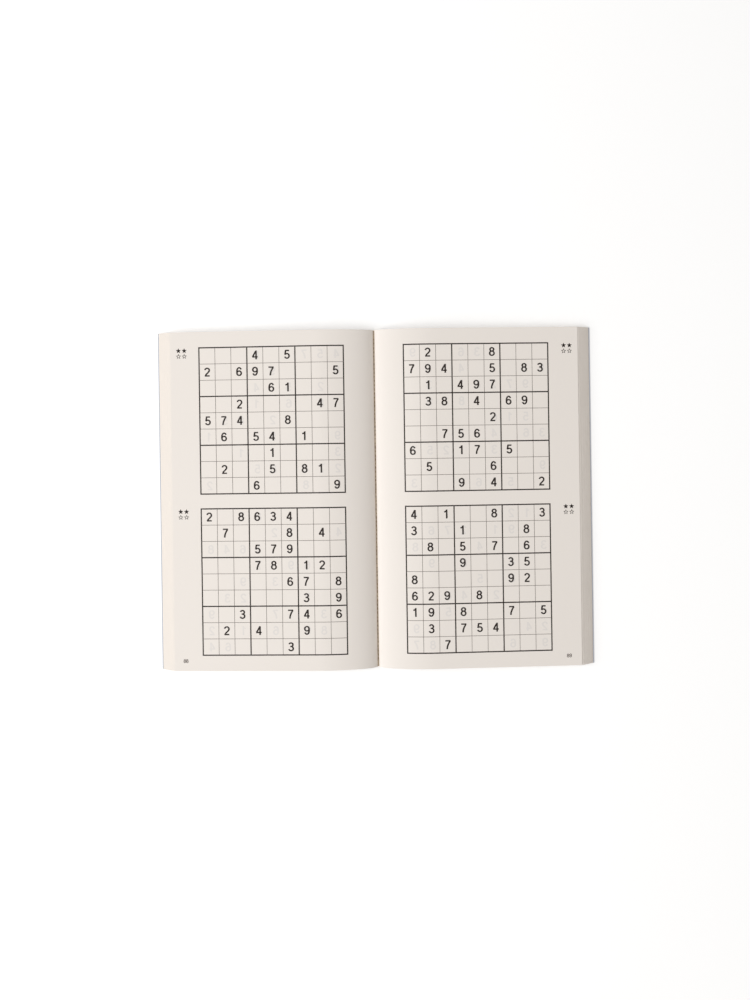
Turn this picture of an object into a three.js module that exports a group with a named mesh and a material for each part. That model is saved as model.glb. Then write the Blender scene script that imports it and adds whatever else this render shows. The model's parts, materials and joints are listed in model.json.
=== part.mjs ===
// A paperback puzzle book lying open at its middle, in millimetres, +Z up.
// X runs across the spread (left page at -X), Y runs along the spine (head at +Y), and Z is up from the table.
// Eleven folded signatures are glued into a card cover. The centre fold of the sixth signature faces up, so five
// signatures and half of the sixth lie on each side. Every sheet leaves the glue upright, bends over in a quarter
// ellipse to its crest, and runs straight down from there to its fore-edge. Paper flexes only in that bend, so each
// sheet is a bend, which stays with the spine, and a panel, which turns about the bend's centre when the book closes.

import * as THREE from 'three';

// Page trim and paper
const PAGE_WIDTH = 125;
const PAGE_HEIGHT = 203.2;
const LEAF = 0.11;
const LEAVES_PER_SIGNATURE = 8;
const SIGNATURES_PER_SIDE = 5;
const CENTRE_LEAVES = 3;
const SHEET_GAP = 0.05;

// Cover and glue
const COVER = 0.3;
const CREASE_GAP = 0.1;
const SPINE_GLUE = 0.35;
const HINGE_GLUE = 0.1;
const HINGE_GLUE_WIDTH = 4;
const GLUE_GAP = 0.04;

// Form of the open book
const CREST_REACH = 32;
const LOWEST_CREST_RISE = 0.35;
const ARCH_LIFT = 4.2;
const BEND_STEPS = 14;
const LANDING_GAP = 0.3;

const PAPER = { color: 0xefe8e2, roughness: 0.9, metalness: 0 };
const CARD = { color: 0xbec3cd, roughness: 0.55, metalness: 0 };
const HOT_MELT = { color: 0xd8c9a6, roughness: 0.45, metalness: 0 };

const SIDES = [
  { name: 'left', sign: -1, cover: 'front_cover', signature: (step) => 1 + step },
  { name: 'right', sign: 1, cover: 'back_cover', signature: (step) => 2 * SIGNATURES_PER_SIDE + 1 - step },
];

// Thickness of one side's sheets, from the cover up to the middle of the book
function sheetsOfSide(side) {
  const sheets = [];
  for (let step = 0; step < SIGNATURES_PER_SIDE; step += 1) {
    const number = String(side.signature(step)).padStart(2, '0');
    sheets.push({ name: `signature_${number}`, thickness: LEAVES_PER_SIGNATURE * LEAF });
  }
  sheets.push({ name: `centre_leaves_${side.name}`, thickness: CENTRE_LEAVES * LEAF });
  sheets.push({ name: `top_leaf_${side.name}`, thickness: LEAF, turns: true });
  let depth = 0;
  for (const sheet of sheets) {
    sheet.depth = depth;
    depth += sheet.thickness + SHEET_GAP;
  }
  return sheets;
}

const HALF_BLOCK = sheetsOfSide(SIDES[0]).reduce((sum, sheet) => sum + sheet.thickness + SHEET_GAP, 0);
const SPINE_HALF = HALF_BLOCK + HINGE_GLUE + 2 * GLUE_GAP;
const BEND_BASE = COVER + GLUE_GAP + SPINE_GLUE + GLUE_GAP;

// Length of a quarter ellipse, by Ramanujan's formula
function quarterEllipse(a, b) {
  return (Math.PI / 4) * (3 * (a + b) - Math.sqrt((3 * a + b) * (a + 3 * b)));
}

// The two faces of a sheet: semi-axes of their bends, crest height, and reach of their fore-edge.
// Semi-axes are counted from the bend's centre, which lies at CREST_REACH from the spine, on the glue.
function faceOfSheet(depth, crestHeight) {
  const a = CREST_REACH - HALF_BLOCK + depth;
  const b = crestHeight - BEND_BASE;
  const bendLength = quarterEllipse(a, b);
  return { a, b, crestHeight, bendLength, foreEdge: CREST_REACH + PAGE_WIDTH - bendLength };
}

function crestOf(depth) {
  return BEND_BASE + LOWEST_CREST_RISE + depth + (ARCH_LIFT * depth) / HALF_BLOCK;
}

// Each sheet's fore-edge lies on the sheet below it, and the top leaf lies parallel to its neighbour
function formOfSheet(sheet, below) {
  const crest = sheet.turns ? below.crest + below.thickness + SHEET_GAP : crestOf(sheet.depth);
  const under = faceOfSheet(sheet.depth, crest);
  const over = faceOfSheet(sheet.depth + sheet.thickness, crest + sheet.thickness);
  const support = below ? undersideAt(below, under.foreEdge) + below.thickness : COVER;
  const fall = sheet.turns ? below.fall : (crest - support - SHEET_GAP) / (under.foreEdge - CREST_REACH);
  return { ...sheet, crest, fall, under, over, slope: Math.atan(fall) };
}

// Height of a panel's under face at a reach from the spine
function undersideAt(form, reach) {
  return form.crest - form.fall * (reach - CREST_REACH);
}

// A solid with the outline (x, z) all along the page height
function alongSpine(outline, length = PAGE_HEIGHT) {
  const shape = new THREE.Shape(outline.map(([x, z]) => new THREE.Vector2(x, z)));
  const geometry = new THREE.ExtrudeGeometry(shape, { depth: length, bevelEnabled: false });
  return geometry.rotateX(Math.PI / 2).translate(0, length / 2, 0);
}

function named(name, geometry, finish) {
  const mesh = new THREE.Mesh(geometry, new THREE.MeshStandardMaterial(finish));
  mesh.name = name;
  return mesh;
}

// Points of a quarter ellipse from the glue up to the crest
function bendPoints(face, sign) {
  const points = [];
  for (let step = 0; step <= BEND_STEPS; step += 1) {
    const angle = (step / BEND_STEPS) * (Math.PI / 2);
    const x = sign * (CREST_REACH - face.a * Math.cos(angle));
    points.push([x, BEND_BASE + face.b * Math.sin(angle)]);
  }
  return points;
}

function bendMesh(form, sign) {
  const outline = [...bendPoints(form.under, sign), ...bendPoints(form.over, sign).reverse()];
  return named(`${form.name}_bend`, alongSpine(outline), PAPER);
}

// A panel falls from the crest to the fore-edge, where its under leaves reach further out than its upper ones
function panelMesh(form, sign) {
  const start = CREST_REACH + SHEET_GAP;
  const outline = [
    [sign * start, undersideAt(form, start)],
    [sign * form.under.foreEdge, undersideAt(form, form.under.foreEdge)],
    [sign * form.over.foreEdge, undersideAt(form, form.over.foreEdge) + form.thickness],
    [sign * start, undersideAt(form, start) + form.thickness],
  ];
  return named(`${form.name}_panel`, alongSpine(outline), PAPER);
}

// The point that stays still while a turn by the angle about Y carries one point of the XZ plane to another
function turnCentre(from, to, angle) {
  const half = 1 / (2 * Math.tan(angle / 2));
  const [dx, dz] = [to[0] - from[0], to[1] - from[1]];
  return [(from[0] + to[0]) / 2 + dz * half, (from[1] + to[1]) / 2 - dx * half];
}

// Closing stands a panel upright over the line where its sheet meets the glue
function closingAxis(form, sign) {
  const angle = -sign * (Math.PI / 2 + form.slope);
  const open = [sign * CREST_REACH, form.crest];
  const closed = [sign * (HALF_BLOCK - form.depth), BEND_BASE + form.under.bendLength];
  return turnCentre(open, closed, angle);
}

// Turning lays the top leaf upside down on the facing page
function turningAxis(form, sign) {
  const angle = -sign * (Math.PI + 2 * form.slope);
  const top = form.crest + form.thickness;
  const open = [sign * CREST_REACH, top];
  const turned = [-sign * CREST_REACH, top + LANDING_GAP];
  return turnCentre(open, turned, angle);
}

// A group at a hinge axis that holds meshes modelled in the book's own frame
function hinged(name, [x, z], ...meshes) {
  const group = new THREE.Group();
  group.name = name;
  group.position.set(x, 0, z);
  for (const mesh of meshes) {
    mesh.position.set(-x, 0, -z);
    group.add(mesh);
  }
  return group;
}

function coverHalf(side) {
  const inner = side.sign * (SPINE_HALF + CREASE_GAP / 2);
  const outer = side.sign * (SPINE_HALF + BEND_BASE - COVER + PAGE_WIDTH);
  const panel = [[inner, 0], [outer, 0], [outer, COVER], [inner, COVER]];
  const base = COVER + GLUE_GAP;
  const strip = side.sign * (SPINE_HALF + CREASE_GAP / 2 + HINGE_GLUE_WIDTH);
  const glue = [[inner, base], [strip, base], [strip, base + HINGE_GLUE], [inner, base + HINGE_GLUE]];
  return hinged(
    `${side.cover}_fold`,
    [side.sign * SPINE_HALF, COVER],
    named(side.cover, alongSpine(panel), CARD),
    named(`hinge_glue_${side.name}`, alongSpine(glue), HOT_MELT),
  );
}

function spine() {
  const reach = SPINE_HALF - CREASE_GAP / 2;
  const card = [[-reach, 0], [reach, 0], [reach, COVER], [-reach, COVER]];
  const base = COVER + GLUE_GAP;
  const top = base + SPINE_GLUE;
  const glue = [[-HALF_BLOCK, base], [HALF_BLOCK, base], [HALF_BLOCK, top], [-HALF_BLOCK, top]];
  const group = new THREE.Group();
  group.add(named('cover_spine', alongSpine(card), CARD), named('spine_glue', alongSpine(glue), HOT_MELT));
  return group;
}

function half(side) {
  const group = new THREE.Group();
  group.add(coverHalf(side));
  let below = null;
  for (const sheet of sheetsOfSide(side)) {
    const form = formOfSheet(sheet, below);
    const axis = form.turns ? turningAxis(form, side.sign) : closingAxis(form, side.sign);
    group.add(bendMesh(form, side.sign), hinged(`${form.name}_turn`, axis, panelMesh(form, side.sign)));
    below = form;
  }
  return group;
}

const book = new THREE.Group();
book.name = 'puzzle_book';
book.add(spine(), ...SIDES.map(half));

export default book;
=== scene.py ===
"""A sudoku paperback lying open at its middle: leaves, print, cover, binding, and a plain studio.

Everything is in metres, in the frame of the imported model: X across the spread, Y along the spine, Z up.
A leaf has its own flat coordinates: along, counted from the glue to the fore-edge, and across, which is Y.
"""

import json
import logging
import math
import random
from dataclasses import dataclass, field, replace
from enum import Enum
from functools import cached_property
from typing import Callable, Iterable

import bpy
import numpy as np
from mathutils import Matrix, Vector


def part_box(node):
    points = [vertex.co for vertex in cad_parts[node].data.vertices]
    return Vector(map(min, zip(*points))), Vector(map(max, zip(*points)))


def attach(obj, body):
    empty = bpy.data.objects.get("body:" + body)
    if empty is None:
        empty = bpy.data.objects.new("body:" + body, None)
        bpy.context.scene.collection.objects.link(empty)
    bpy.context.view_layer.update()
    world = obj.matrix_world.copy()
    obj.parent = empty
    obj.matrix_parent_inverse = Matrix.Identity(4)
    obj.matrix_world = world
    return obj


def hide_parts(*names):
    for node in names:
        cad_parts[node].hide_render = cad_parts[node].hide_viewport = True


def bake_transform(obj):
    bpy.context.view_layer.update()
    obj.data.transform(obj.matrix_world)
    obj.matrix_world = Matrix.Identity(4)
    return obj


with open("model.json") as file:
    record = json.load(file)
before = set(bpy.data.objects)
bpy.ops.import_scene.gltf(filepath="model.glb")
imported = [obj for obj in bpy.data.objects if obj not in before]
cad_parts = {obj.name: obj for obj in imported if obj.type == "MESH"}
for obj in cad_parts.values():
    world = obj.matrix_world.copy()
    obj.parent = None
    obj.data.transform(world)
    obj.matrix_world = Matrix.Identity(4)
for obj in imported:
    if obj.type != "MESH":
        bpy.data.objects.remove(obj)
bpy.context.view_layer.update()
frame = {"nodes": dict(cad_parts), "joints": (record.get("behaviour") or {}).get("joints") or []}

log = logging.getLogger("puzzle_book")

Piece = bpy.types.Object
Tree = bpy.types.NodeTree
Node = bpy.types.Node
Carry = Callable[[Piece], None]
Pair = tuple[float, float]
Triple = tuple[float, float, float]
Colour = tuple[float, float, float, float]
Paint = tuple[int, int, int]

MM = 0.001
LEAF = 0.11 * MM
PAPER = 0.1 * MM
SIGNATURES = 11
MIDDLE_SIGNATURE = 6
SIGNATURE_LEAVES = 8
CENTRE_LEAVES = 3
PAGE_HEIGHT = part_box("top_leaf_left_panel")[1].y * 2
SMOOTH_ANGLE = math.radians(30)
WHITE = (1, 1, 1, 1)
SEED = 88


class Slot(Enum):
    """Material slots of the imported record."""

    PAPER = "page_paper"
    CARD = "cover_card"
    GLUE = "binding_glue"


class Side(Enum):
    """The two halves of the open book, with the sign of their X."""

    LEFT = -1
    RIGHT = 1

    @property
    def word(self) -> str:
        """Name of the side as the nodes use it."""
        return self.name.lower()


class Kind(Enum):
    """The two kinds of page: verso has its spine on the right, recto on the left."""

    VERSO = "verso"
    RECTO = "recto"


def linear(colour: Paint) -> Colour:
    """Turn an sRGB colour of 0 to 255 into linear light.

    Args:
        colour: red, green and blue as a paint chart gives them.

    Returns:
        Linear red, green, blue and full alpha.
    """
    parts = [value / 255 for value in colour]
    light = [p / 12.92 if p <= 0.04045 else ((p + 0.055) / 1.055) ** 2.4 for p in parts]
    return (light[0], light[1], light[2], 1.0)


def deselect() -> None:
    """Leave nothing selected, in object mode."""
    if bpy.context.mode != "OBJECT":
        bpy.ops.object.mode_set(mode="OBJECT")
    bpy.ops.object.select_all(action="DESELECT")


def pick(*pieces: Piece) -> None:
    """Select only these objects and make the first one active.

    Args:
        pieces: objects of the scene.
    """
    deselect()
    for piece in pieces:
        piece.select_set(True)
    bpy.context.view_layer.objects.active = pieces[0]


def settle(*pieces: Piece) -> None:
    """Put the place, turn and scale of objects into their meshes.

    Args:
        pieces: mesh objects with a mesh of their own each.
    """
    pick(*pieces)
    bpy.ops.object.transform_apply(location=True, rotation=True, scale=True)


def joined(name: str, pieces: list[Piece]) -> Piece:
    """Join objects into one at the origin.

    Args:
        name: name of the joined piece.
        pieces: mesh objects with a mesh of their own each.

    Returns:
        The joined object.
    """
    settle(*pieces)
    if len(pieces) > 1:
        bpy.ops.object.join()
    piece = bpy.context.view_layer.objects.active
    piece.name = name
    piece.data.name = name
    return piece


def copied(pattern: Piece, place: Triple) -> Piece:
    """Copy a pattern piece, with a mesh of its own, to a place.

    Args:
        pattern: the piece that was modelled once.
        place: where the copy's origin goes.

    Returns:
        The copy.
    """
    twin = pattern.copy()
    twin.data = pattern.data.copy()
    twin.location = place
    bpy.context.scene.collection.objects.link(twin)
    return twin


def removed(*patterns: Piece) -> None:
    """Delete patterns that have been copied.

    Args:
        patterns: objects that aren't part of the book.
    """
    pick(*patterns)
    bpy.ops.object.delete()


def points_of(piece: Piece) -> np.ndarray:
    """Read the vertices of a mesh.

    Args:
        piece: a mesh object at the origin.

    Returns:
        One row of x, y and z for each vertex.
    """
    flat = np.empty(len(piece.data.vertices) * 3, dtype=np.float32)
    piece.data.vertices.foreach_get("co", flat)
    return flat.reshape(-1, 3).astype(float)


def move_points(piece: Piece, points: np.ndarray) -> None:
    """Write the vertices of a mesh.

    Args:
        piece: a mesh object at the origin.
        points: one row of x, y and z for each vertex.
    """
    piece.data.vertices.foreach_set("co", points.astype(np.float32).ravel())
    piece.data.update()


def flat_grid(name: str, columns: int, rows: int, size: Pair) -> Piece:
    """Add a flat grid that starts at x = 0 and is centred on y = 0.

    Args:
        name: name of the object.
        columns: faces along x.
        rows: faces along y.
        size: length along x and y.

    Returns:
        The grid, at the origin.
    """
    deselect()
    bpy.ops.mesh.primitive_grid_add(x_subdivisions=columns, y_subdivisions=rows, size=1)
    grid = bpy.context.object
    grid.name = name
    grid.scale = (size[0], size[1], 1)
    grid.location = (size[0] / 2, 0, 0)
    settle(grid)
    return grid


def thicken(piece: Piece, thickness: float, rim: int = 0) -> None:
    """Give a sheet its thickness on both sides.

    Args:
        piece: an open mesh.
        thickness: full thickness in metres.
        rim: how many material slots further the rim's finish is.
    """
    pick(piece)
    solid = piece.modifiers.new("thickness", "SOLIDIFY")
    solid.thickness = thickness
    solid.offset = 0
    solid.material_offset_rim = rim
    bpy.ops.object.modifier_apply(modifier=solid.name)


def cut_across(piece: Piece, places: Iterable[float]) -> None:
    """Cut a mesh at places along x.

    Args:
        piece: a mesh object at the origin.
        places: where the cuts go.
    """
    pick(piece)
    bpy.ops.object.mode_set(mode="EDIT")
    for place in places:
        bpy.ops.mesh.select_all(action="SELECT")
        bpy.ops.mesh.bisect(plane_co=(place, 0, 0), plane_no=(1, 0, 0))
    bpy.ops.object.mode_set(mode="OBJECT")


def wire(tree: Tree, *rows: tuple) -> None:
    """Link sockets of a node tree.

    Args:
        tree: the tree.
        rows: for each link, a node and its output, and a node and its input.
    """
    for source, output, target, taken in rows:
        tree.links.new(source.outputs[output], target.inputs[taken])


def preset(node: Node, values: dict[str | int, object]) -> None:
    """Set the constants of a node's inputs."""
    for socket, value in values.items():
        node.inputs[socket].default_value = value


def add_node(tree: Tree, kind: str, values: dict | None = None, **settings: object) -> Node:
    """Add a shader node.

    Args:
        tree: the tree that it goes into.
        kind: its type, without the words that all types share.
        values: constants of its inputs.
        settings: settings of the node itself.

    Returns:
        The node.
    """
    node = tree.nodes.new(f"ShaderNode{kind}")
    for name, setting in settings.items():
        setattr(node, name, setting)
    preset(node, values or {})
    return node


# Sockets of a colour mix, which share their names with those of other data types
MIX_A = 6
MIX_B = 7
MIX_RESULT = 2


def report(piece: Piece) -> None:
    """Log a finished piece with its triangle count."""
    count = sum(len(face.vertices) - 2 for face in piece.data.polygons)
    log.info("%s: %d triangles", piece.name, count)


class Formation:
    """Shared shader group: cloudy tone and fine fibre, as a sheet of paper shows against its ground."""

    name = "paper_formation"
    inputs = {
        "Vector": "NodeSocketVector",
        "Ground": "NodeSocketColor",
        "Tone": "NodeSocketColor",
        "Cloud": "NodeSocketFloat",
        "Fibre": "NodeSocketFloat",
        "Amount": "NodeSocketFloat",
    }
    outputs = {"Color": "NodeSocketColor", "Height": "NodeSocketFloat"}
    cloud_detail = 3
    fibre_detail = 5
    fibre_distortion = 1.5
    spread = (0.7, 1.35)

    @classmethod
    def group(cls) -> bpy.types.ShaderNodeTree:
        """Build the group once.

        Returns:
            The node group with inputs Vector, Ground, Tone, Cloud, Fibre and Amount.
        """
        if cls.name in bpy.data.node_groups:
            return bpy.data.node_groups[cls.name]
        tree = bpy.data.node_groups.new(cls.name, "ShaderNodeTree")
        for way, sockets in (("INPUT", cls.inputs), ("OUTPUT", cls.outputs)):
            for name, kind in sockets.items():
                tree.interface.new_socket(name, in_out=way, socket_type=kind)
        taken = tree.nodes.new("NodeGroupInput")
        given = tree.nodes.new("NodeGroupOutput")
        cloud = add_node(tree, "TexNoise", {"Detail": cls.cloud_detail})
        fibre = add_node(tree, "TexNoise", {"Detail": cls.fibre_detail, "Distortion": cls.fibre_distortion})
        both = add_node(tree, "Math", operation="ADD")
        spread = add_node(tree, "MapRange", {"From Min": cls.spread[0], "From Max": cls.spread[1]})
        share = add_node(tree, "Math", operation="MULTIPLY")
        mix = add_node(tree, "Mix", data_type="RGBA")
        wire(
            tree,
            (taken, "Vector", cloud, "Vector"),
            (taken, "Vector", fibre, "Vector"),
            (taken, "Cloud", cloud, "Scale"),
            (taken, "Fibre", fibre, "Scale"),
            (cloud, "Fac", both, 0),
            (fibre, "Fac", both, 1),
            (both, "Value", spread, "Value"),
            (spread, "Result", share, 0),
            (taken, "Amount", share, 1),
            (share, "Value", mix, "Factor"),
            (taken, "Ground", mix, MIX_A),
            (taken, "Tone", mix, MIX_B),
            (mix, MIX_RESULT, given, "Color"),
            (fibre, "Fac", given, "Height"),
        )
        return tree


@dataclass(frozen=True)
class Finish:
    """A procedural finish with a ground colour, a cloudy tone, fine fibre, roughness and relief."""

    name: str
    ground: Paint
    tone: Paint
    cloud: float
    fibre: float
    amount: float
    roughness: Pair
    relief: float
    stretch: Triple = (1.0, 1.0, 1.0)
    attribute: str = ""
    specular: float = 0.3
    bump: float = 0.35
    # Colour that the tone attribute multiplies towards: a random tone on stacked leaves, and painted warm
    # shade near the gutter on the top leaves
    shade: Paint = (241, 226, 196)

    def material(self) -> bpy.types.Material:
        """Build the material once.

        Returns:
            The material of this finish.
        """
        if self.name in bpy.data.materials:
            return bpy.data.materials[self.name]
        material = bpy.data.materials.new(self.name)
        material.use_nodes = True
        tree = material.node_tree
        shader = tree.nodes["Principled BSDF"]
        preset(shader, {"Specular IOR Level": self.specular})
        where = add_node(tree, "TexCoord")
        turn = add_node(tree, "Mapping", {"Scale": self.stretch})
        paper = add_node(tree, "Group", node_tree=Formation.group())
        preset(paper, {"Ground": linear(self.ground), "Tone": linear(self.tone)})
        preset(paper, {"Cloud": self.cloud, "Fibre": self.fibre, "Amount": self.amount})
        rough = add_node(tree, "MapRange", {"To Min": self.roughness[0], "To Max": self.roughness[1]})
        bump = add_node(tree, "Bump", {"Strength": self.bump, "Distance": self.relief})
        wire(
            tree,
            (where, "Object", turn, "Vector"),
            (turn, "Vector", paper, "Vector"),
            (paper, "Color", shader, "Base Color"),
            (paper, "Height", rough, "Value"),
            (rough, "Result", shader, "Roughness"),
            (paper, "Height", bump, "Height"),
            (bump, "Normal", shader, "Normal"),
        )
        if self.attribute:
            self.add_tone(tree, paper, shader)
        return material

    def add_tone(self, tree: Tree, paper: Node, shader: Node) -> None:
        """Darken and warm the colour by the attribute that each leaf carries: a random tone on the stacked
        leaves, and painted warm shade near the gutter on the top leaves.

        Args:
            tree: the material's nodes.
            paper: node that gives the colour.
            shader: node that takes it.
        """
        tone = add_node(tree, "Attribute", attribute_name=self.attribute)
        mix = add_node(tree, "Mix", data_type="RGBA", blend_type="MULTIPLY")
        preset(mix, {MIX_B: linear(self.shade)})
        wire(
            tree,
            (tone, "Fac", mix, "Factor"),
            (paper, "Color", mix, MIX_A),
            (mix, MIX_RESULT, shader, "Base Color"),
        )


# Attribute of the leaf colour: a random tone per stacked leaf, and painted warm shade near the gutter on the
# top leaves
LEAF_TONE_AND_GUTTER_SHADE = "leaf_tone"
PAGE = Finish(
    "page_paper", (231, 225, 229), (224, 218, 220), 160, 2600, 0.9, (0.82, 0.96), 0.00003, attribute=LEAF_TONE_AND_GUTTER_SHADE
)
TRIM = Finish("trimmed_edge", (238, 229, 216), (225, 214, 198), 500, 3800, 1.0, (0.85, 0.98), 0.00004)
INK = Finish("black_ink", (27, 19, 15), (44, 35, 30), 700, 5200, 0.9, (0.55, 0.75), 0.00001)
GREY_INK = Finish("hairline_ink", (85, 75, 71), (110, 100, 95), 700, 5200, 0.9, (0.6, 0.8), 0.00001)
GHOST = Finish("show_through", (228, 224, 221), (233, 228, 224), 420, 2600, 0.9, (0.82, 0.96), 0.00003)
CARD = Finish(
    "cover_card", (210, 211, 216), (199, 201, 207), 60, 3000, 0.8, (0.42, 0.6), 0.00002, stretch=(1, 0.35, 1)
)
HOT_MELT = Finish("binding_glue", (216, 200, 166), (186, 166, 128), 240, 900, 1.0, (0.3, 0.5), 0.0001)
FOLD = Finish(
    "fold_glue", (204, 188, 166), (170, 153, 132), 420, 1900, 1.0, (0.4, 0.6), 0.0001, stretch=(1, 0.5, 1)
)
BEAD = Finish("glue_bead", (128, 112, 95), (98, 84, 70), 600, 2400, 1.0, (0.35, 0.55), 0.0001)


def dress(piece: Piece, slot: Slot, *finishes: Finish) -> None:
    """Give a piece its finishes.

    Args:
        piece: a mesh object.
        slot: material slot of the record; not used.
        finishes: the finish of each material slot, in order.
    """
    piece.data.materials.clear()
    for finish in finishes:
        piece.data.materials.append(finish.material())


def set_tone(leaf: Piece, tone: np.ndarray) -> None:
    """Let a leaf carry its tone attribute: a random tone on a stacked leaf, painted warm shade near the
    gutter on a top leaf.

    Args:
        leaf: a leaf as an open mesh.
        tone: share of the tone, or of the painted gutter shade, at each vertex.
    """
    layer = leaf.data.attributes.new(LEAF_TONE_AND_GUTTER_SHADE, "FLOAT", "POINT")
    layer.data.foreach_set("value", tone.astype(np.float32))


def make_paper(piece: Piece) -> None:
    """Give laid leaves their finish and thickness, with smooth faces.

    Args:
        piece: leaves as an open mesh.
    """
    dress(piece, Slot.PAPER, PAGE, TRIM)
    thicken(piece, PAPER, rim=1)
    pick(piece)
    bpy.ops.object.shade_smooth_by_angle(angle=SMOOTH_ANGLE)


@dataclass(frozen=True)
class LeafForm:
    """Middle surface of one leaf, from the glue over its crest to the fore-edge."""

    sign: int
    reach: float
    base: float
    half_span: float
    rise: float
    fall: float
    width: float
    ease: float = 1.2 * MM
    cockle: float = 0.0
    wave_start: float = 20 * MM
    wave_growth: float = 50 * MM
    waves_along: Pair = (21 * MM, 55 * MM)
    waves_across: Pair = (47 * MM, 30 * MM)
    wave_shift: float = 1.3
    samples: int = 721

    @cached_property
    def bend(self) -> tuple[np.ndarray, np.ndarray]:
        """Angles round the bend and the length of paper up to each of them."""
        angle = np.linspace(0, math.pi / 2, self.samples)
        x = self.half_span * np.cos(angle)
        z = self.rise * np.sin(angle)
        steps = np.hypot(np.diff(x), np.diff(z))
        return angle, np.concatenate(([0.0], np.cumsum(steps)))

    @property
    def bend_length(self) -> float:
        """Length of paper between the glue and the crest."""
        return float(self.bend[1][-1])

    def stations(self, bend_steps: int, panel_steps: int) -> np.ndarray:
        """Lengths along the leaf at which its facets end, closer together in the bend.

        Args:
            bend_steps: facets between the glue and the crest.
            panel_steps: facets between the crest and the fore-edge.

        Returns:
            The lengths, from 0 to the page width.
        """
        angle, length = self.bend
        in_bend = np.interp(np.linspace(0, math.pi / 2, bend_steps + 1), angle, length)
        flat = np.linspace(self.bend_length, self.width, panel_steps + 1)
        return np.concatenate((in_bend, flat[1:]))

    def swell(self, along: np.ndarray, across: np.ndarray) -> np.ndarray:
        """Slow waves of a leaf that lies loose, never below its form.

        Args:
            along: lengths from the glue.
            across: places along the spine.

        Returns:
            Heights to add.
        """
        free = np.clip((along - self.wave_start) / self.wave_growth, 0, 1)
        first = np.sin(along / self.waves_along[0] + across / self.waves_across[0])
        second = np.sin(across / self.waves_across[1] - along / self.waves_along[1] + self.wave_shift)
        return self.cockle * free * (2 + first + second) / 4

    def place(self, along: np.ndarray, across: np.ndarray, lift: float | np.ndarray) -> np.ndarray:
        """Lay flat points onto the leaf.

        Args:
            along: lengths from the glue.
            across: places along the spine.
            lift: height over the middle surface.

        Returns:
            One row of x, y and z for each point.
        """
        angles, lengths = self.bend
        angle = np.interp(along, lengths, angles)
        run = np.maximum(along - self.bend_length, 0)
        total = self.width - self.bend_length
        eased = total - self.ease * (1 - math.exp(-total / self.ease))
        grade = self.fall * total / eased
        soft = 1 - np.exp(-run / self.ease)
        x = self.reach - self.half_span * np.cos(angle) + run
        z = self.base + self.rise * np.sin(angle) - grade * (run - self.ease * soft)
        on_panel = run > 0
        step_x = np.where(on_panel, 1, self.half_span * np.sin(angle))
        step_z = np.where(on_panel, -grade * soft, self.rise * np.cos(angle))
        size = np.hypot(step_x, step_z)
        x = x - lift * step_z / size
        z = z + lift * step_x / size + self.swell(along, across)
        return np.column_stack((self.sign * x, across, z))

    def spot(self, along: float) -> Triple:
        """Point of the leaf's middle surface at a length from the glue."""
        row = self.place(np.array([along]), np.array([0.0]), 0.0)[0]
        return (float(row[0]), float(row[1]), float(row[2]))


@dataclass
class Sheet:
    """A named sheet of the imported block: a bend and a panel of a few leaves."""

    name: str
    side: Side
    leaves: int
    give: float = 1.6 * MM
    samples: int = 400

    @property
    def middle(self) -> LeafForm:
        """Form of the leaf in the middle of the sheet."""
        return self.form(self.leaves // 2)

    def form(self, leaf: int, cockle: float = 0.0) -> LeafForm:
        """Form of one leaf, from the boxes of the sheet's two nodes.

        Args:
            leaf: number of the leaf, from the lowest.
            cockle: height of the slow waves of a loose leaf.

        Returns:
            The leaf's middle surface.
        """
        bend_low, bend_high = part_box(f"{self.name}_bend")
        panel_low, panel_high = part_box(f"{self.name}_panel")
        reach = max(abs(bend_low.x), abs(bend_high.x))
        inner = min(abs(bend_low.x), abs(bend_high.x))
        fore_edge = max(abs(panel_low.x), abs(panel_high.x))
        thickness = self.leaves * LEAF
        crest = bend_high.z - thickness
        fall = (crest - panel_low.z) / (fore_edge - reach)
        half_span = reach - inner - thickness
        rise = crest - bend_low.z
        lowest = LeafForm(self.side.value, reach, bend_low.z, half_span, rise, fall, 1.0)
        width = fore_edge - reach + lowest.bend_length
        depth = (leaf + 0.5) * LEAF
        return replace(lowest, half_span=half_span + depth, rise=rise + depth, width=width, cockle=cockle)

    def flex(self) -> Pair:
        """Where the sheet's paper flexes when the book closes: around the point that is nearest to its hinge.

        Returns:
            Lengths from the glue at which the flex starts and ends.
        """
        hinge = next(row for row in frame["joints"] if row["child"] == self.name)["pos_m"]
        form = self.middle
        along = np.linspace(0, form.bend_length, self.samples)
        points = form.place(along, np.zeros(self.samples), 0.0)
        away = np.hypot(points[:, 0] - hinge[0], points[:, 2] - hinge[2])
        start = max(0.0, float(along[np.argmin(away)]) - self.give / 2)
        return (start, start + self.give)

    def follow(self, piece: Piece) -> None:
        """Find where this sheet flexes and put a piece's transform into its mesh; nothing makes the piece
        flex.

        Args:
            piece: a finished piece of the sheet.
        """
        start, end = self.flex()
        self.middle.spot(start)
        self.middle.spot(end)
        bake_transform(piece)


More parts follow.
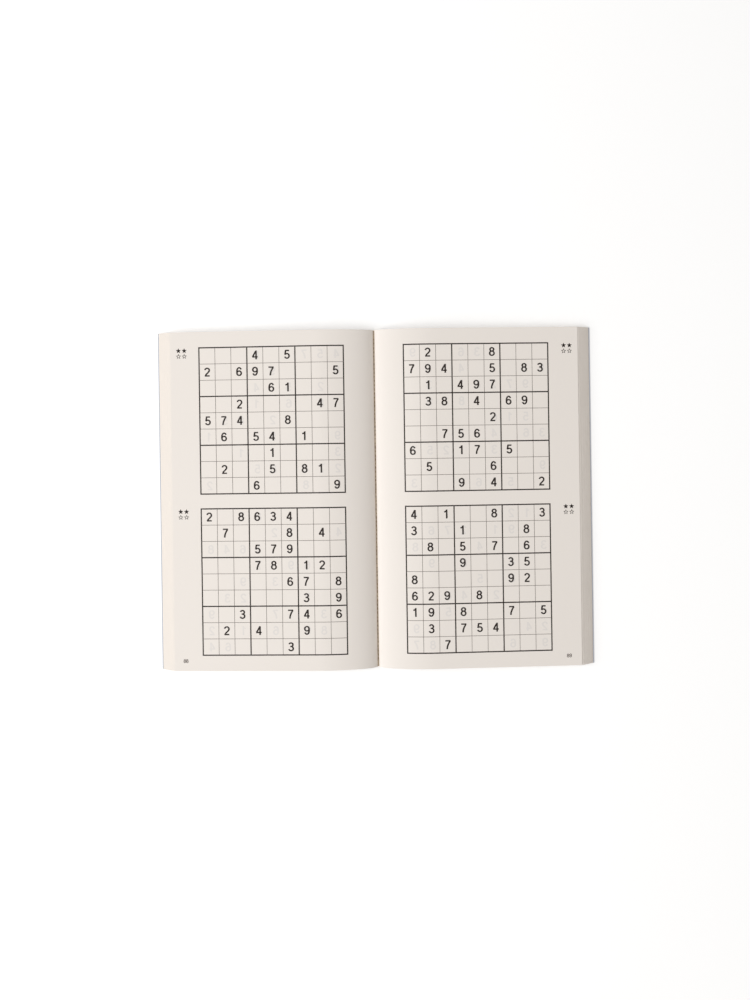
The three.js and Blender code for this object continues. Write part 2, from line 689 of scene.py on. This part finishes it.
@dataclass
class LeafStack:
    """The leaves of one sheet, each one modelled, in one piece."""

    sheet: Sheet
    chance: random.Random
    bend_steps: int = 14
    panel_steps: int = 8
    rows: int = 6
    ragged: float = 0.12 * MM
    shades: Pair = (0.0, 0.55)

    def build(self) -> Piece:
        """Lay every leaf on its own curve and join them.

        Returns:
            The finished piece.
        """
        pattern = flat_grid("leaf_pattern", self.bend_steps + self.panel_steps, self.rows, (1.0, PAGE_HEIGHT))
        leaves = [self.leaf(pattern, number) for number in range(self.sheet.leaves)]
        removed(pattern)
        piece = joined(f"{self.sheet.name}_leaves", leaves)
        make_paper(piece)
        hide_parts(f"{self.sheet.name}_bend", f"{self.sheet.name}_panel")
        self.sheet.follow(piece)
        report(piece)
        return piece

    def leaf(self, pattern: Piece, number: int) -> Piece:
        """Copy the flat leaf and lay it on its curve.

        Args:
            pattern: flat grid, 1 long.
            number: number of the leaf, from the lowest.

        Returns:
            The laid leaf.
        """
        form = self.sheet.form(number)
        leaf = copied(pattern, (0, 0, 0))
        flat = points_of(leaf)
        stations = form.stations(self.bend_steps, self.panel_steps)
        columns = self.bend_steps + self.panel_steps
        along = np.interp(flat[:, 0], np.linspace(0, 1, columns + 1), stations)
        short = self.chance.uniform(0, self.ragged)
        along = np.where(np.isclose(flat[:, 0], 1), along - short, along)
        move_points(leaf, form.place(along, flat[:, 1], 0.0))
        set_tone(leaf, np.full(len(flat), self.chance.uniform(*self.shades)))
        return leaf


@dataclass
class TopLeaf:
    """The leaf that faces up: a root in the binding, and the printed part."""

    sheet: Sheet
    below: Sheet
    bend_steps: int = 40
    panel_steps: int = 44
    rows: int = 48
    turn_start: Pair = (0.11 * MM, 1.69 * MM)
    turn_end: Pair = (0.66 * MM, 9.95 * MM)
    overlap: float = 0.5 * MM
    cockle: float = 0.05 * MM
    # Painted warm shade near the gutter: its strength at the glue, and the length over which it fades
    gutter_tone: float = 0.95
    tone_fade: float = 16 * MM

    @cached_property
    def form(self) -> LeafForm:
        """Form of the leaf, with its slow waves."""
        return self.sheet.form(0, self.cockle)

    @cached_property
    def stations(self) -> np.ndarray:
        """Lengths along the leaf at which its facets end."""
        return self.form.stations(self.bend_steps, self.panel_steps)

    def build(self) -> None:
        """Lay the two parts of the leaf."""
        split = int(np.searchsorted(self.stations, self.below.flex()[1] + self.overlap))
        root = self.part("root", self.stations[: split + 1])
        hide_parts(f"{self.sheet.name}_bend")
        self.below.follow(root)
        page = self.part("page", self.stations[split:])
        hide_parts(f"{self.sheet.name}_panel")
        self.turn(page)
        report(root)
        report(page)

    def turn(self, piece: Piece) -> None:
        """Put a piece's transform into its mesh; nothing makes it turn over with the leaf.

        Args:
            piece: a finished piece of the leaf.
        """
        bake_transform(piece)

    def part(self, word: str, stations: np.ndarray) -> Piece:
        """Lay one part of the leaf.

        Args:
            word: ending of the piece's name.
            stations: lengths at which the part's facets end.

        Returns:
            The part, with its thickness and finish.
        """
        columns = len(stations) - 1
        piece = flat_grid(f"{self.sheet.name}_{word}", columns, self.rows, (1.0, PAGE_HEIGHT))
        flat = points_of(piece)
        along = np.interp(flat[:, 0], np.linspace(0, 1, columns + 1), stations)
        move_points(piece, self.form.place(along, flat[:, 1], 0.0))
        # Paint warm shade onto the leaf, strongest at the glue and fading away from the gutter
        set_tone(piece, self.gutter_tone * np.exp(-along / self.tone_fade))
        make_paper(piece)
        return piece


BOX = 3
LINE = BOX * BOX
CELLS = LINE * LINE


@dataclass
class PuzzleMaker:
    """Makes sudoku puzzles with one solution each."""

    chance: random.Random
    clues: tuple[int, int] = (27, 31)

    def puzzle(self) -> list[int]:
        """Make one puzzle.

        Returns:
            81 digits, row by row from the top, with 0 for a blank.
        """
        cells = self.solved()
        aim = self.chance.randint(*self.clues)
        order = list(range(CELLS))
        self.chance.shuffle(order)
        left = CELLS
        for cell in order:
            if left <= aim:
                break
            kept = cells[cell]
            cells[cell] = 0
            if self.count(cells[:], 2) == 1:
                left -= 1
            else:
                cells[cell] = kept
        return cells

    def solved(self) -> list[int]:
        """Shuffle a pattern grid into a full one.

        Returns:
            81 digits, row by row.
        """
        digits = list(range(1, LINE + 1))
        self.chance.shuffle(digits)
        rows = self.line_order()
        columns = self.line_order()
        shifts = [BOX * (row % BOX) + row // BOX for row in rows]
        return [digits[(shift + column) % LINE] for shift in shifts for column in columns]

    def line_order(self) -> list[int]:
        """Shuffle the three bands, and the three lines in each band."""
        bands = [[BOX * band + line for line in range(BOX)] for band in range(BOX)]
        self.chance.shuffle(bands)
        for band in bands:
            self.chance.shuffle(band)
        return [line for band in bands for line in band]

    def choices(self, cells: list[int], cell: int) -> list[int]:
        """Digits that may go into a blank cell.

        Args:
            cells: 81 digits.
            cell: number of the blank cell.

        Returns:
            The digits that its row, column and box leave.
        """
        row, column = divmod(cell, LINE)
        corner = LINE * (row - row % BOX) + column - column % BOX
        used = set(cells[cell - column : cell - column + LINE])
        used.update(cells[column::LINE])
        for start in range(corner, corner + BOX * LINE, LINE):
            used.update(cells[start : start + BOX])
        return [digit for digit in range(1, LINE + 1) if digit not in used]

    def count(self, cells: list[int], most: int) -> int:
        """Count the solutions, up to a number.

        Args:
            cells: 81 digits, which are changed while counting.
            most: where to stop.

        Returns:
            The number of solutions found.
        """
        best: list[int] = []
        where = -1
        for cell in range(CELLS):
            if cells[cell]:
                continue
            options = self.choices(cells, cell)
            if where < 0 or len(options) < len(best):
                best = options
                where = cell
            if len(best) < 2:
                break
        if where < 0:
            return 1
        found = 0
        for digit in best:
            cells[where] = digit
            found += self.count(cells, most - found)
            if found >= most:
                break
        cells[where] = 0
        return found


@dataclass(frozen=True)
class Bow:
    """A stroke of a digit that follows an ellipse, clockwise or not, in parts of the cap height."""

    middle: Pair
    radii: Pair
    turn: Pair = (0.0, 360.0)
    facet: float = 12.0

    def path(self) -> np.ndarray:
        """Points of the stroke's middle line, one row of x and y each."""
        steps = round(abs(self.turn[1] - self.turn[0]) / self.facet)
        angle = np.radians(np.linspace(self.turn[0], self.turn[1], steps + 1))
        x = self.middle[0] + self.radii[0] * np.cos(angle)
        y = self.middle[1] + self.radii[1] * np.sin(angle)
        return np.column_stack((x, y))


@dataclass(frozen=True)
class Run:
    """A stroke of a digit that goes straight from point to point, in parts of the cap height."""

    points: tuple[Pair, ...]

    def path(self) -> np.ndarray:
        """Points of the stroke's middle line, one row of x and y each."""
        return np.array(self.points)


DIGITS: dict[str, tuple[Bow | Run, ...]] = {
    "0": (Bow((0.28, 0.5), (0.21, 0.43)),),
    "1": (Run(((0.34, 0.0), (0.34, 1.0))), Run(((0.1, 0.745), (0.2, 0.76), (0.28, 0.815), (0.33, 0.93)))),
    "2": (
        Bow((0.28, 0.7), (0.205, 0.235), (172, -38)),
        Run(((0.452, 0.572), (0.36, 0.44), (0.2, 0.26), (0.115, 0.1))),
        Run(((0.045, 0.067), (0.51, 0.067))),
    ),
    "3": (
        Bow((0.27, 0.735), (0.18, 0.2), (165, -90)),
        Bow((0.27, 0.3), (0.21, 0.235), (90, -165)),
        Run(((0.19, 0.535), (0.28, 0.535))),
    ),
    "4": (
        Run(((0.4, 0.0), (0.4, 1.0))),
        Run(((0.385, 0.955), (0.065, 0.29))),
        Run(((0.02, 0.285), (0.55, 0.285))),
    ),
    "5": (
        Run(((0.115, 0.935), (0.49, 0.935))),
        Run(((0.165, 0.97), (0.105, 0.47))),
        Bow((0.28, 0.325), (0.21, 0.255), (150, -162)),
    ),
    "6": (Bow((0.285, 0.315), (0.205, 0.245)), Bow((0.29, 0.5), (0.215, 0.43), (33, 200))),
    "7": (
        Run(((0.04, 0.935), (0.53, 0.935))),
        Run(((0.49, 0.9), (0.4, 0.75), (0.3, 0.52), (0.23, 0.27), (0.2, 0.0))),
    ),
    "8": (Bow((0.28, 0.74), (0.175, 0.19)), Bow((0.28, 0.305), (0.21, 0.238))),
    "9": (Bow((0.275, 0.685), (0.205, 0.245)), Bow((0.27, 0.5), (0.215, 0.43), (213, 380))),
}


@dataclass
class Glyphs:
    """Digits and stars, each modelled once, flat, centred on the origin."""

    cap_height: float = 5.3 * MM
    breadth: float = 1.19
    weight: float = 0.155
    centre: Pair = (0.28, 0.5)
    overprint: float = 0.002 * MM
    star_corners: int = 10
    star_radius: float = 1.62 * MM
    star_waist: float = 0.45
    star_outline: float = 0.26 * MM
    patterns: dict[str, Piece] = field(default_factory=dict)

    def build(self) -> None:
        """Model the ten digits and the two stars."""
        for digit, strokes in DIGITS.items():
            strips = [self.stroke(stroke.path()) for stroke in strokes]
            for layer, strip in enumerate(strips):
                strip.location.z = layer * self.overprint / self.cap_height
            glyph = joined(f"digit_{digit}", strips)
            points = points_of(glyph) - np.array((*self.centre, 0))
            move_points(glyph, points * np.array((self.breadth, 1, 1)) * self.cap_height)
            self.patterns[digit] = glyph
        self.patterns["star"] = self.star(hollow=False)
        self.patterns["open_star"] = self.star(hollow=True)

    def stroke(self, path: np.ndarray) -> Piece:
        """Lay a flat strip along the middle line of a stroke.

        Args:
            path: points of the middle line.

        Returns:
            The strip.
        """
        count = len(path) - 1
        strip = flat_grid("stroke", count, 1, (1.0, self.weight))
        flat = points_of(strip)
        step = np.gradient(path, axis=0)
        if np.allclose(path[0], path[-1]):
            step[0] = step[-1] = path[1] - path[-2]
        step /= np.hypot(step[:, 0], step[:, 1])[:, None]
        place = np.rint(flat[:, 0] * count).astype(int)
        x = path[place, 0] - step[place, 1] * flat[:, 1]
        y = path[place, 1] + step[place, 0] * flat[:, 1]
        move_points(strip, np.column_stack((x, y, flat[:, 2])))
        return strip

    def star(self, hollow: bool) -> Piece:
        """Model a five-pointed star from a ten-sided disc.

        Args:
            hollow: whether only the outline is left.

        Returns:
            The star as a flat mesh.
        """
        deselect()
        corners = self.star_corners
        bpy.ops.mesh.primitive_circle_add(vertices=corners, radius=self.star_radius, fill_type="NGON")
        star = bpy.context.object
        star.name = "open_star_pattern" if hollow else "star_pattern"
        points = points_of(star)
        points[1::2] *= self.star_waist
        move_points(star, points)
        if hollow:
            bpy.ops.object.mode_set(mode="EDIT")
            bpy.ops.mesh.select_all(action="SELECT")
            bpy.ops.mesh.inset(thickness=self.star_outline)
            bpy.ops.mesh.delete(type="FACE")
            bpy.ops.object.mode_set(mode="OBJECT")
        return star

    def put(self, name: str, x: float, y: float, scale: float = 1.0) -> Piece:
        """Copy a pattern to a place on a flat page.

        Args:
            name: digit or star.
            x: place along the reading direction.
            y: place up the page.
            scale: size against the pattern.

        Returns:
            The copy.
        """
        glyph = copied(self.patterns[name], (x, y, 0))
        glyph.scale = (scale, scale, 1)
        return glyph


GUTTER_MARGIN = {Kind.VERSO: 21.0 * MM, Kind.RECTO: 20.3 * MM}
FOLIO_MARGIN = {Kind.VERSO: 6.9 * MM, Kind.RECTO: 7.7 * MM}


@dataclass
class PagePrint:
    """What is printed on one page: two puzzles, their rating stars and a page number."""

    number: int
    kind: Kind
    width: float
    puzzles: list[list[int]]
    glyphs: Glyphs
    grid: Pair = (86.6 * MM, 87.6 * MM)
    tops: Pair = (92.0 * MM, -4.5 * MM)
    thick: float = 0.74 * MM
    thin: float = 0.25 * MM
    line_faces: tuple[int, int] = (9, 36)
    star_columns: Pair = (5.0 * MM, 8.5 * MM)
    star_rows: Pair = (1.6 * MM, 5.0 * MM)
    folio_height: float = 2.2 * MM
    folio_foot: float = 6 * MM
    folio_step: float = 1.5 * MM

    @property
    def left(self) -> float:
        """Where the puzzles start along the reading direction."""
        if self.kind is Kind.RECTO:
            return GUTTER_MARGIN[self.kind]
        return self.width - GUTTER_MARGIN[self.kind] - self.grid[0]

    def margin(self, distance: float) -> float:
        """Place along the reading direction of something at a distance from the fore-edge."""
        return self.width - distance if self.kind is Kind.RECTO else distance

    def ink(self) -> Piece:
        """Make the black print as one flat mesh.

        Returns:
            The print, in reading coordinates.
        """
        parts = self.digits()
        for top in self.tops:
            parts += self.lines(top, range(0, LINE + 1, BOX), self.thick)
            parts += self.stars(top)
        return joined(f"page_{self.number}_ink", parts)

    def hairlines(self) -> Piece:
        """Make the thin lines of both puzzles and the page number as one flat mesh.

        Returns:
            The lines and the number, in reading coordinates.
        """
        steps = [step for step in range(LINE) if step % BOX]
        parts = [line for top in self.tops for line in self.lines(top, steps, self.thin)] + self.folio()
        return joined(f"page_{self.number}_hairlines", parts)

    def folio(self) -> list[Piece]:
        """Put the digits of the page number into the outer margin."""
        scale = self.folio_height / self.glyphs.cap_height
        middle = self.margin(FOLIO_MARGIN[self.kind])
        y = -PAGE_HEIGHT / 2 + self.folio_foot
        places = (middle - self.folio_step / 2, middle + self.folio_step / 2)
        return [self.glyphs.put(sign, x, y, scale) for sign, x in zip(str(self.number), places)]

    def digits(self) -> list[Piece]:
        """Put the clues of both puzzles into their cells."""
        cell = (self.grid[0] / LINE, self.grid[1] / LINE)
        parts = []
        for top, puzzle in zip(self.tops, self.puzzles):
            for place, digit in enumerate(puzzle):
                row, column = divmod(place, LINE)
                x = self.left + (column + 0.5) * cell[0]
                y = top - (row + 0.5) * cell[1]
                if digit:
                    parts.append(self.glyphs.put(str(digit), x, y))
        return parts

    def lines(self, top: float, steps: Iterable[int], wide: float) -> list[Piece]:
        """Rule lines of one puzzle, both ways.

        Args:
            top: height of the puzzle's top edge.
            steps: which of its ten lines.
            wide: width of the lines.

        Returns:
            The lines as strips.
        """
        strips = []
        across, up = self.line_faces
        for step in steps:
            down = flat_grid("line", 1, up, (wide, self.grid[1] + wide))
            down.location = (self.left + step * self.grid[0] / LINE - wide / 2, top - self.grid[1] / 2, 0)
            level = flat_grid("line", across, 1, (self.grid[0] + wide, wide))
            level.location = (self.left - wide / 2, top - step * self.grid[1] / LINE, self.glyphs.overprint)
            strips += [down, level]
        return strips

    def stars(self, top: float) -> list[Piece]:
        """Put the rating stars of one puzzle into the outer margin.

        Args:
            top: height of the puzzle's top edge.

        Returns:
            Two filled and two open stars.
        """
        parts = []
        for column in self.star_columns:
            for name, drop in zip(("star", "open_star"), self.star_rows):
                parts.append(self.glyphs.put(name, self.margin(column), top - drop))
        return parts


@dataclass
class PrintFilm:
    """A film of ink laid on one face of a leaf."""

    flat: Piece
    kind: Kind
    form: LeafForm
    stations: np.ndarray
    lift: float

    def lay(self, turn_over: bool = False) -> Piece:
        """Cut the film along the leaf's facets and lay it on the leaf.

        Args:
            turn_over: whether the film shows from the leaf's other face.

        Returns:
            The laid film.
        """
        if turn_over:
            pick(self.flat)
            bpy.ops.object.mode_set(mode="EDIT")
            bpy.ops.mesh.select_all(action="SELECT")
            bpy.ops.mesh.flip_normals()
        cut_across(self.flat, self.from_glue(self.stations[1:-1]))
        points = points_of(self.flat)
        along = self.from_glue(points[:, 0])
        lift = self.lift + math.copysign(1, self.lift) * points[:, 2]
        move_points(self.flat, self.form.place(along, points[:, 1], lift))
        return self.flat

    def from_glue(self, x: np.ndarray) -> np.ndarray:
        """Turn places along the reading direction into lengths from the glue, or back."""
        return x if self.kind is Kind.RECTO else self.form.width - x


# Page numbers of each side: the top leaf's upper face, its under face, and the leaf below it
PRINTED_PAGES = {Side.LEFT: (88, 87, 86), Side.RIGHT: (89, 90, 91)}


@dataclass
class Printing:
    """The print on the two top leaves, on both faces, and on the leaves under them."""

    top: dict[Side, TopLeaf]
    chance: random.Random
    proud: float = 0.02 * MM
    ghost_proud: float = 0.008 * MM
    film: float = 0.008 * MM
    glyphs: Glyphs = field(default_factory=Glyphs)

    def build(self) -> None:
        """Print the six pages."""
        self.glyphs.build()
        maker = PuzzleMaker(self.chance)
        for side, (front, back, under) in PRINTED_PAGES.items():
            leaf = self.top[side]
            pages = {number: self.page(number, leaf, maker) for number in (front, back, under)}
            self.print_leaf(leaf, pages[front], pages[back])
            self.print_under(leaf, pages[under])
        removed(*self.glyphs.patterns.values())

    def page(self, number: int, leaf: TopLeaf, maker: PuzzleMaker) -> PagePrint:
        """Lay out one page; even pages are verso.

        Args:
            number: page number.
            leaf: a leaf of the page's width.
            maker: maker of its puzzles.

        Returns:
            The page.
        """
        kind = Kind.VERSO if number % 2 == 0 else Kind.RECTO
        return PagePrint(number, kind, leaf.form.width, [maker.puzzle(), maker.puzzle()], self.glyphs)

    def print_leaf(self, leaf: TopLeaf, front: PagePrint, back: PagePrint) -> None:
        """Print both faces of a top leaf, and what shows through it.

        Args:
            leaf: the leaf.
            front: page that faces up.
            back: page on its under face.
        """
        up = PAPER / 2 + self.proud
        ghost = joined(f"page_{front.number}_show_through", back.digits())
        film = PrintFilm(ghost, back.kind, leaf.form, leaf.stations, PAPER / 2 + self.ghost_proud)
        self.finish(film.lay(turn_over=True), GHOST, leaf.turn)
        for page, lift in ((front, up), (back, -up)):
            self.print_page(page, leaf.form, leaf.stations, lift, leaf.turn)

    def print_under(self, leaf: TopLeaf, page: PagePrint) -> None:
        """Print the page that shows when the top leaf is turned.

        Args:
            leaf: the top leaf over it.
            page: the page.
        """
        sheet = leaf.below
        form = sheet.form(sheet.leaves - 1)
        stations = form.stations(LeafStack.bend_steps, LeafStack.panel_steps)
        self.print_page(page, form, stations, PAPER / 2 + self.proud, sheet.follow)

    def print_page(
        self, page: PagePrint, form: LeafForm, stations: np.ndarray, lift: float, carry: Carry
    ) -> None:
        """Print the ink and the hairlines of one page.

        Args:
            page: the page.
            form: the leaf's middle surface.
            stations: lengths at which the leaf's facets end.
            lift: height over the middle surface.
            carry: function of its leaf that is applied to the laid film.
        """
        for flat, finish in ((page.ink(), INK), (page.hairlines(), GREY_INK)):
            film = PrintFilm(flat, page.kind, form, stations, lift)
            self.finish(film.lay(), finish, carry)

    def finish(self, film: Piece, finish: Finish, carry: Carry) -> None:
        """Thicken and dress a film, and apply its leaf's function to it.

        Args:
            film: the laid film.
            finish: its finish.
            carry: function of its leaf that is applied to it.
        """
        thicken(film, self.film)
        dress(film, Slot.PAPER, finish)
        carry(film)
        report(film)


@dataclass
class Cover:
    """The card cover: spine panel and two flat halves, which meet it at their creases."""

    bevel: float = 0.05 * MM
    score: float = 6.0 * MM
    groove: float = 0.05 * MM
    groove_width: float = 0.4 * MM
    near: float = 0.01 * MM
    swell: Pair = (18 * MM, 14 * MM)
    swell_facets: int = 20

    def build(self) -> None:
        """Model the three panels."""
        low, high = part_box("cover_spine")
        edge = (high.x + abs(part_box("front_cover")[1].x)) / 2
        spine = self.card("spine_card", (-edge, edge), low, high)
        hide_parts("cover_spine")
        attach(spine, "spine")
        report(spine)
        for side, node in ((Side.LEFT, "front_cover"), (Side.RIGHT, "back_cover")):
            self.half(side, node, edge)

    def half(self, side: Side, node: str, edge: float) -> None:
        """Model one half, with a score line near its crease.

        Args:
            side: which half.
            node: its node.
            edge: where it meets the spine panel.
        """
        low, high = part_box(node)
        outer = max(abs(low.x), abs(high.x))
        reach = sorted((side.value * edge, side.value * outer))
        piece = self.card(f"{node}_card", (reach[0], reach[1]), low, high)
        self.scored(piece, side.value * (edge + self.score))
        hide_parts(node)
        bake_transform(piece)
        report(piece)

    def card(self, name: str, reach: Pair, low: Vector, high: Vector) -> Piece:
        """Model a flat panel of card with softened edges.

        Args:
            name: name of the piece.
            reach: its ends along x.
            low: lowest corner of its node.
            high: highest corner of its node.

        Returns:
            The panel.
        """
        deselect()
        bpy.ops.mesh.primitive_cube_add(size=1)
        card = bpy.context.object
        card.name = name
        card.scale = (reach[1] - reach[0], high.y - low.y, high.z - low.z)
        card.location = ((reach[0] + reach[1]) / 2, 0, (low.z + high.z) / 2)
        settle(card)
        soft = card.modifiers.new("soft_edge", "BEVEL")
        soft.width = self.bevel
        soft.segments = 2
        bpy.ops.object.modifier_apply(modifier=soft.name)
        dress(card, Slot.CARD, CARD)
        return card

    def scored(self, card: Piece, x: float) -> None:
        """Press a score line into the outside of a half, and cut facets beside its crease.

        Args:
            card: the half.
            x: place of the line.
        """
        outward = math.copysign(1, x)
        crease = x - outward * self.score
        facet = outward * self.swell[1] / self.swell_facets
        places = [crease + step * facet for step in range(1, self.swell_facets + 1)]
        cut_across(card, (*places, x - self.groove_width, x, x + self.groove_width))
        points = points_of(card)
        under = points[:, 2] < points[:, 2].min() + self.near
        on_line = under & (np.abs(points[:, 0] - x) < self.near)
        points[on_line, 2] += self.groove
        move_points(card, points)


@dataclass
class Binding:
    """What shows of the binding: the fold of the middle sheet with its glue, and the glue films."""

    chance: random.Random
    height: float = 2.2 * MM
    width: float = 0.9 * MM
    faces: tuple[int, int] = (6, 160)
    inset: float = 0.4 * MM
    dip: float = 0.5 * MM
    uneven: float = 0.06 * MM
    film: float = 0.1 * MM
    bead: Triple = (0.3 * MM, 0.75 * MM, 0.2 * MM)
    bead_drop: float = 0.42 * MM
    bead_ends: Pair = (5 * MM, 3 * MM)
    bead_shift: Pair = (0.12 * MM, 0.3 * MM)
    bead_sizes: tuple[Pair, Pair] = ((0.6, 1.2), (0.5, 1.2))
    pitch: float = 2.5 * MM

    def build(self) -> None:
        """Model the fold and its beads, and finish the glue nodes."""
        fold = flat_grid("fold_ridge", *self.faces, (self.width, PAGE_HEIGHT - self.inset))
        points = points_of(fold)
        share = points[:, 0] / self.width - 0.5
        points[:, 0] -= self.width / 2
        points[:, 2] = self.height - self.dip * (1 - 4 * share**2)
        points[:, 2] += np.array([self.chance.uniform(-self.uneven, self.uneven) for _ in points])
        move_points(fold, points)
        dress(fold, Slot.GLUE, FOLD)
        thicken(fold, self.film)
        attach(fold, "spine")
        report(fold)
        self.beads()
        for node in ("spine_glue", "hinge_glue_left", "hinge_glue_right"):
            film = frame["nodes"][node]
            dress(film, Slot.GLUE, HOT_MELT)
            report(film)

    def beads(self) -> None:
        """Model one bead of glue and copy it along the fold."""
        deselect()
        bpy.ops.mesh.primitive_ico_sphere_add(subdivisions=2, radius=1)
        pattern = bpy.context.object
        pattern.scale = self.bead
        settle(pattern)
        count = int((PAGE_HEIGHT - sum(self.bead_ends)) / self.pitch)
        first = -PAGE_HEIGHT / 2 + self.bead_ends[0]
        aside, astray = self.bead_shift
        beads = []
        for number in range(count):
            y = first + number * self.pitch + self.chance.uniform(-astray, astray)
            bead = copied(pattern, (self.chance.uniform(-aside, aside), y, self.height - self.bead_drop))
            wide, long = (self.chance.uniform(*sizes) for sizes in self.bead_sizes)
            bead.scale = (wide, long, 1)
            beads.append(bead)
        removed(pattern)
        piece = joined("glue_beads", beads)
        dress(piece, Slot.GLUE, BEAD)
        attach(piece, "spine")
        report(piece)


@dataclass
class Studio:
    """Plain pale floor, soft light from the left, and the camera over the book."""

    distance: float = 0.5367
    lens: float = 31.86
    sensor: float = 36
    shift: float = -0.06
    nearest: float = 0.01
    roll: float = -0.84
    place: Pair = (-0.0001, 0.0353)
    key: float = 38.8
    lamp_direction: Triple = (-0.475, -0.06, 0.45)
    lamp_distance: float = 2.2
    lamp_size: float = 1.7
    fill: float = 0.465
    fill_colour: Colour = (1.0, 0.965, 0.92, 1.0)
    floor_size: float = 6
    floor_drop: float = 0.05 * MM
    floor_colour: Colour = (0.955, 0.965, 0.98, 1.0)
    floor_roughness: float = 0.9
    floor_specular: float = 0.1
    ground_glow: float = 0.17

    def build(self) -> None:
        """Set the floor, the lights and the camera."""
        self.floor()
        self.sky()
        self.lamp()
        self.camera()
        bpy.context.scene.view_settings.view_transform = "Standard"

    def seen(self, tree: Tree) -> Node:
        """Tell the rays that reach the camera, also by a mirror or through something, from those that light.

        Args:
            tree: nodes of a material or of the world.

        Returns:
            Node whose Value is 1 for such a ray.
        """
        rays = add_node(tree, "LightPath")
        both = add_node(tree, "Math", operation="MAXIMUM")
        every = add_node(tree, "Math", operation="MAXIMUM")
        wire(
            tree,
            (rays, "Is Camera Ray", both, 0),
            (rays, "Is Glossy Ray", both, 1),
            (both, "Value", every, 0),
            (rays, "Is Transmission Ray", every, 1),
        )
        return every

    def floor(self) -> None:
        """Lay the floor just under the book, white where nothing shades it."""
        deselect()
        bpy.ops.mesh.primitive_plane_add(size=self.floor_size, location=(0, 0, -self.floor_drop))
        floor = bpy.context.object
        floor.name = "floor"
        material = bpy.data.materials.new("floor_white")
        material.use_nodes = True
        tree = material.node_tree
        shader = tree.nodes["Principled BSDF"]
        preset(shader, {"Base Color": self.floor_colour, "Emission Color": WHITE})
        preset(shader, {"Roughness": self.floor_roughness, "Specular IOR Level": self.floor_specular})
        glow = add_node(tree, "Math", {1: self.ground_glow}, operation="MULTIPLY")
        wire(tree, (self.seen(tree), "Value", glow, 0), (glow, "Value", shader, "Emission Strength"))
        floor.data.materials.append(material)

    def sky(self) -> None:
        """Set an even world that looks white, while it lights the book with a warm fill."""
        world = bpy.data.worlds.new("even_light")
        world.use_nodes = True
        tree = world.node_tree
        ground = tree.nodes["Background"]
        level = add_node(tree, "MapRange", {"To Min": self.fill, "To Max": 1.0})
        hue = add_node(tree, "Mix", data_type="RGBA")
        preset(hue, {MIX_A: self.fill_colour, MIX_B: WHITE})
        seen = self.seen(tree)
        wire(
            tree,
            (seen, "Value", level, "Value"),
            (level, "Result", ground, "Strength"),
            (seen, "Value", hue, "Factor"),
            (hue, MIX_RESULT, ground, "Color"),
        )
        bpy.context.scene.world = world

    def lamp(self) -> None:
        """Hang one large soft lamp on the left, towards the foot."""
        place = Vector(self.lamp_direction).normalized() * self.lamp_distance
        bpy.ops.object.light_add(type="AREA", location=place)
        lamp = bpy.context.object
        lamp.name = "soft_window"
        lamp.data.shape = "SQUARE"
        lamp.data.size = self.lamp_size
        lamp.data.energy = self.key
        lamp.rotation_euler = (-place).to_track_quat("-Z", "Y").to_euler()

    def camera(self) -> None:
        """Hang the camera straight over the book, a little towards the head."""
        roll = math.radians(self.roll)
        bpy.ops.object.camera_add(location=(*self.place, self.distance), rotation=(0, 0, roll))
        camera = bpy.context.object
        camera.data.lens = self.lens
        camera.data.sensor_width = self.sensor
        camera.data.shift_y = self.shift
        camera.data.clip_start = self.nearest
        bpy.context.scene.camera = camera


@dataclass
class Book:
    """The whole book."""

    chance: random.Random = field(default_factory=lambda: random.Random(SEED))

    def sheets(self, side: Side) -> list[Sheet]:
        """Sheets of one side, from the cover up.

        Args:
            side: which side.

        Returns:
            Five signatures, the lower centre leaves and the top leaf.
        """
        left = side is Side.LEFT
        numbers = range(1, MIDDLE_SIGNATURE) if left else range(SIGNATURES, MIDDLE_SIGNATURE, -1)
        rows = [Sheet(f"signature_{number:02d}", side, SIGNATURE_LEAVES) for number in numbers]
        rows.append(Sheet(f"centre_leaves_{side.word}", side, CENTRE_LEAVES))
        rows.append(Sheet(f"top_leaf_{side.word}", side, 1))
        return rows

    def build(self) -> None:
        """Build the cover, the leaves, the binding and the print."""
        Cover().build()
        tops: dict[Side, TopLeaf] = {}
        for side in Side:
            sheets = self.sheets(side)
            for sheet in sheets[:-1]:
                LeafStack(sheet, self.chance).build()
            tops[side] = TopLeaf(sheets[-1], sheets[-2])
            tops[side].build()
        Binding(self.chance).build()
        Printing(tops, self.chance).build()


def main() -> None:
    """Build the book and its studio."""
    logging.basicConfig(level=logging.INFO, format="%(name)s %(message)s")
    Book().build()
    Studio().build()


if __name__ == "__main__":
    main()
